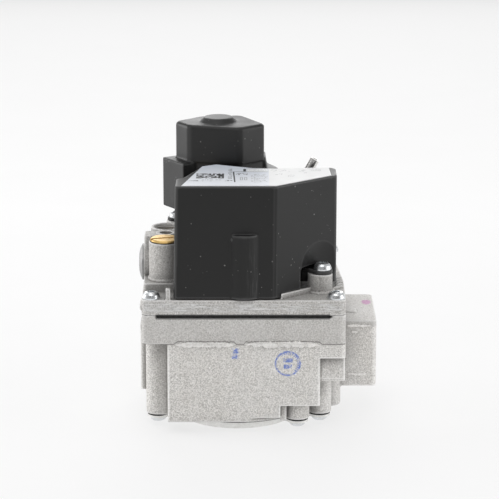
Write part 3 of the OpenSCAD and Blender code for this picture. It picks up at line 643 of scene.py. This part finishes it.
def thread(name, mouth, inward, radius, length, pitch, depth):
    """A screw thread cut in a bore, from its mouth along inward; radius is the bore's."""
    inward = Vector(inward)
    side = inward.orthogonal().normalized()
    up = inward.cross(side)
    per_turn = 48
    rows = []
    for k in range(int(per_turn * length / pitch) + 1):
        turn = 2 * math.pi * k / per_turn
        out = side * math.cos(turn) + up * math.sin(turn)
        start = Vector(mouth) + inward * (pitch * k / per_turn)
        section = ((0.02 * MM, 0.08), (-depth, 0.5), (0.02 * MM, 0.92), (0.15 * MM, 0.5))
        rows.append([
            start + out * (radius + away) + inward * (pitch * share)
            for away, share in section
        ])
    make(name, grid_mesh(name, rows, closed=True), CAST_BODY, "casting")


def threads():
    """Threads of the inlet, the outlet and the open regulator tower; the ports have 14 turns an inch."""
    screen_low, screen_high = node_box("inlet_screen")
    screen = (screen_low + screen_high) / 2
    port_r = (screen_high.z - screen_low.z) / 2 + 0.6 * MM
    for name, x, way in (("inlet_thread", body_high.x, -1), ("outlet_thread", body_low.x, 1)):
        mouth = (x + way * 0.8 * MM, screen.y, screen.z)
        thread(name, mouth, (way, 0, 0), port_r, 16 * MM, 25.4 / 14 * MM, 0.9 * MM)
    adjuster_low, adjuster_high = node_box("high_adjuster")
    adjuster = (adjuster_low + adjuster_high) / 2
    mouth = (adjuster.x, adjuster.y, adjuster_high.z + 5.2 * MM)
    thread("tower_thread", mouth, (0, 0, -1), 5.6 * MM, 4 * MM, 0.8 * MM, 0.35 * MM)


threads()

# Compression springs, as node, wire radius in mm, lower body and upper body
SPRINGS = (
    ("main_spring", 0.8, "main_valve", "casting"),
    ("main_plunger_spring", 0.3, "main_plunger", "casting"),
    ("stage_plunger_spring", 0.3, "stage_plunger", "casting"),
    ("low_spring", 0.35, "low_servo", "low_seat"),
    ("high_spring", 0.35, "high_servo", "high_seat"),
)
SPRING_TURNS = 5
# Share of the height at which a spring between two moving pieces is split in two
SPRING_STILL = 0.3


def coil_piece(name, node, wire_mm, share):
    """The part of a node's coil spring within a share of its height."""
    low, high = node_box(node)
    centre = (low + high) / 2
    wire = wire_mm * MM
    radius = (high.x - low.x) / 2 - wire
    height = high.z - low.z - 2 * wire
    steps = round(36 * SPRING_TURNS * (share[1] - share[0]))
    rows = []
    for i in range(steps + 1):
        t = share[0] + (share[1] - share[0]) * i / steps
        turn = 2 * math.pi * SPRING_TURNS * t
        out = Vector((math.cos(turn), math.sin(turn), 0))
        middle = Vector((centre.x, centre.y, low.z + wire + height * t)) + out * radius
        ring = [2 * math.pi * k / 12 for k in range(12)]
        rows.append([
            middle + out * (wire * math.cos(a)) + Vector((0, 0, wire * math.sin(a)))
            for a in ring
        ])
    piece = add_piece(name, grid_mesh(name, rows, closed=True), SPRING_STEEL)
    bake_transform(piece)
    return piece


def springs():
    """Coil springs drawn in place of the CAD ones, in two pieces where both ends sit on moving pieces.
    """
    for node, wire_mm, lower, upper in SPRINGS:
        if upper == "casting":
            lengths = [((0, 1), lower, upper)]
        else:
            lengths = [
                ((0, SPRING_STILL), lower, "casting"),
                ((SPRING_STILL, 1), "casting", upper),
            ]
        for k, (share, a, b) in enumerate(lengths):
            piece = coil_piece(f"{node}_coil_{k + 1}", node, wire_mm, share)
            if k == 0:
                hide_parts(node)


springs()

# ---------------------------------------------------------------- printed label


# Short rows on the label's right-hand part, as x from and to and the top row's y, in mm
SCATTERED_ROWS = (
    (15, 23.5, -3.2), (27.5, 30.5, -3), (33, 37.5, -2.6),
    (17, 21.5, -11), (29, 31, -8), (22.5, 25.5, -13.5),
)


def add_quad(bm, x, y, w, h, z):
    """A flat w by h rectangle from its corner at x, y, all in mm but z."""
    corners = ((x, y), (x + w, y), (x + w, y + h), (x, y + h))
    bm.faces.new([bm.verts.new((a * MM, b * MM, z)) for a, b in corners])


def dashes(bm, x0, x1, y, height, z, fill=0.65, longest=1.3):
    """A row of dashes of random length from x0 to x1, as fine print looks."""
    x = x0
    while x < x1:
        w = min(0.4 + random.random() * longest, x1 - x)
        if w > 0.2 and random.random() < fill:
            add_quad(bm, x, y, w, height, z)
        x += w + 0.35


def label_print():
    """Generic print on the label: a block code, a narrow strip, table lines and rows of dashes."""
    random.seed(7)
    z = label_high.z + 0.012 * MM
    dark, pale, white = bmesh.new(), bmesh.new(), bmesh.new()
    # Block code, in 15 by 12 cells
    cell = 0.82
    for i in range(15):
        for j in range(12):
            if i == 14 or (i + j) % 7 == 0 or random.random() < 0.5:
                add_quad(dark, -18.1 + i * cell, -19.9 + j * cell, cell, cell, z)
    # Bar at the front left corner, tapering to the left
    for i in range(8):
        add_quad(dark, -21.8 + i * 0.6, -24.9 - 0.05 * i, 0.6, 0.25 + 0.14 * i, z)
    for y in (-23.2, -25.4):
        dashes(pale, -15.5, -3.6, y, 0.8, z)
    # Narrow strip of cells
    for j in range(24):
        for i in range(3):
            if random.random() < 0.62:
                add_quad(pale if j % 3 else dark, -4 + i * 0.6, -20.5 + j * 0.86, 0.5, 0.6, z)
    dashes(dark, -4.4, -1.8, -24.4, 1.0, z)
    # Table: upright rule, cross rule and a plain box
    for i in range(10):
        add_quad(dark, -1.3 - 0.07 * i, -27.4 + 2.08 * i, 0.62, 2.08, z)
    add_quad(dark, -2, -6.9, 6.4, 0.7, z)
    add_quad(white, 4.4, -5.9, 9.2, 5.6, z)
    for y in (-6.9, -0.3):
        add_quad(pale, 4.4, y, 9.4, 0.8, z)
    add_quad(dark, 2.7, -5.6, 1.2, 4.8, z)
    for y in (-10.4, -11.6, -12.8):
        dashes(dark, -0.6, 4.6, y, 0.8, z, 0.6, 0.7)
    # Two plain frames and a block of fine rows beside them
    for x in (1.3, 3.2):
        for y, w, h in ((-23.4, 1.3, 0.7), (-18.2, 1.3, 0.7)):
            add_quad(pale, x, y, w, h, z)
        for dx in (0, 0.95):
            add_quad(pale, x + dx, -22.7, 0.35, 4.5, z)
    for j in range(13):
        dashes(pale, 6.2, 13.6, -27.6 + 1.32 * j, 0.6, z, 0.6, 0.9)
    # Scattered short rows on the right-hand part
    for x0, x1, y in SCATTERED_ROWS:
        for k in range(3):
            dashes(pale, x0, x1, y - 1.3 * k, 0.55, z, 0.5, 0.8)
    layers = (
        ("label_print", dark, INK),
        ("label_fine_print", pale, PALE_INK),
        ("label_box", white, WHITE_INK),
    )
    for name, bm, ink in layers:
        mesh = bpy.data.meshes.new(name)
        bm.to_mesh(mesh)
        bm.free()
        make(name, mesh, ink, "casting")


label_print()

# ---------------------------------------------------------------- floor, light and camera


def floor():
    """A pale sweep: flat under the valve, curving up far behind it."""
    rows = []
    for i in range(25):
        turn = math.radians(90) * max(0, i - 8) / 16
        if i <= 8:
            y, z = -3.5 + i * 0.62, 0.0
        else:
            y, z = 1.46 + 1.5 * math.sin(turn), 1.5 * (1 - math.cos(turn))
        rows.append([(x, y, z) for x in (-4, 4)])
    mesh = grid_mesh("floor", rows)
    piece = bpy.data.objects.new("floor", mesh)
    bpy.context.collection.objects.link(piece)
    for face in mesh.polygons:
        face.use_smooth = True
    s = Shader("floor_paper", Roughness=0.8, Specular_IOR_Level=0.1, Emission_Strength=0.7)
    s.surface.inputs["Emission Color"].default_value = (1, 1, 1, 1)
    flat = s.mix(s.noise(60, 2), grey(0.21), grey(0.23))
    s.colour(s.mix(s.fade(s.axis("Y"), 0.4, 1.4), flat, grey(0.05)))
    mesh.materials.append(s.material)


def area_light(name, place, aim, size, power):
    data = bpy.data.lights.new(name, "AREA")
    data.shape = "SQUARE"
    data.size = size
    data.energy = power
    lamp = bpy.data.objects.new(name, data)
    bpy.context.collection.objects.link(lamp)
    lamp.location = place
    lamp.visible_camera = False
    lamp.rotation_euler = (Vector(aim) - Vector(place)).to_track_quat("-Z", "Y").to_euler()


# Area lights as name, place, size in metres and power in watts, all aimed at AIM
LIGHTS = (
    ("top", (-0.2, 0.25, 1.25), 1.0, 3),
    ("front", (-0.1, -0.8, 1.0), 0.8, 4.2),
    ("back", (0, 1.15, 0.46), 0.9, 5),
    ("left", (-1.1, 0.35, 0.28), 0.7, 6),
    ("right", (1.15, -0.2, 0.33), 0.8, 4.5),
)
AIM = (0, 0, 0.06)


def studio():
    """A light tent: soft light from the left, the right and above, and a dim side behind the camera."""
    world = bpy.data.worlds.new("studio")
    bpy.context.scene.world = world
    world.use_nodes = True
    tree = world.node_tree
    background = tree.nodes["Background"]
    direction = tree.nodes.new("ShaderNodeTexCoord")
    split = tree.nodes.new("ShaderNodeSeparateXYZ")
    tree.links.new(direction.outputs["Generated"], split.inputs[0])
    dim = tree.nodes.new("ShaderNodeMapRange")
    # Full strength down to -0.55 along Y, falling to a quarter at -0.9
    for socket, value in zip(list(dim.inputs)[1:5], (-0.55, -0.9, 1.0, 0.25)):
        socket.default_value = value
    tree.links.new(split.outputs["Y"], dim.inputs[0])
    tree.links.new(dim.outputs[0], background.inputs["Color"])
    background.inputs["Strength"].default_value = 0.5
    for name, place, size, power in LIGHTS:
        area_light(name, place, AIM, size, power)
    bpy.context.scene.view_settings.view_transform = "Standard"


FRAME_PX = 499
FOCAL_PX = 2400
SENSOR_MM = 36
LOOK_DOWN = math.radians(14.4)
CAMERA_PLACE = (0.0055, -1.05336, 0.34716)


def camera():
    """A long lens, looking down a little from in front."""
    data = bpy.data.cameras.new("camera")
    data.sensor_width = SENSOR_MM
    data.lens = SENSOR_MM * FOCAL_PX / FRAME_PX
    data.clip_start = 0.05
    data.clip_end = 20
    view = bpy.data.objects.new("camera", data)
    bpy.context.collection.objects.link(view)
    view.location = CAMERA_PLACE
    view.rotation_euler = (math.radians(90) - LOOK_DOWN, 0, 0)
    bpy.context.scene.camera = view


floor()
studio()
camera()
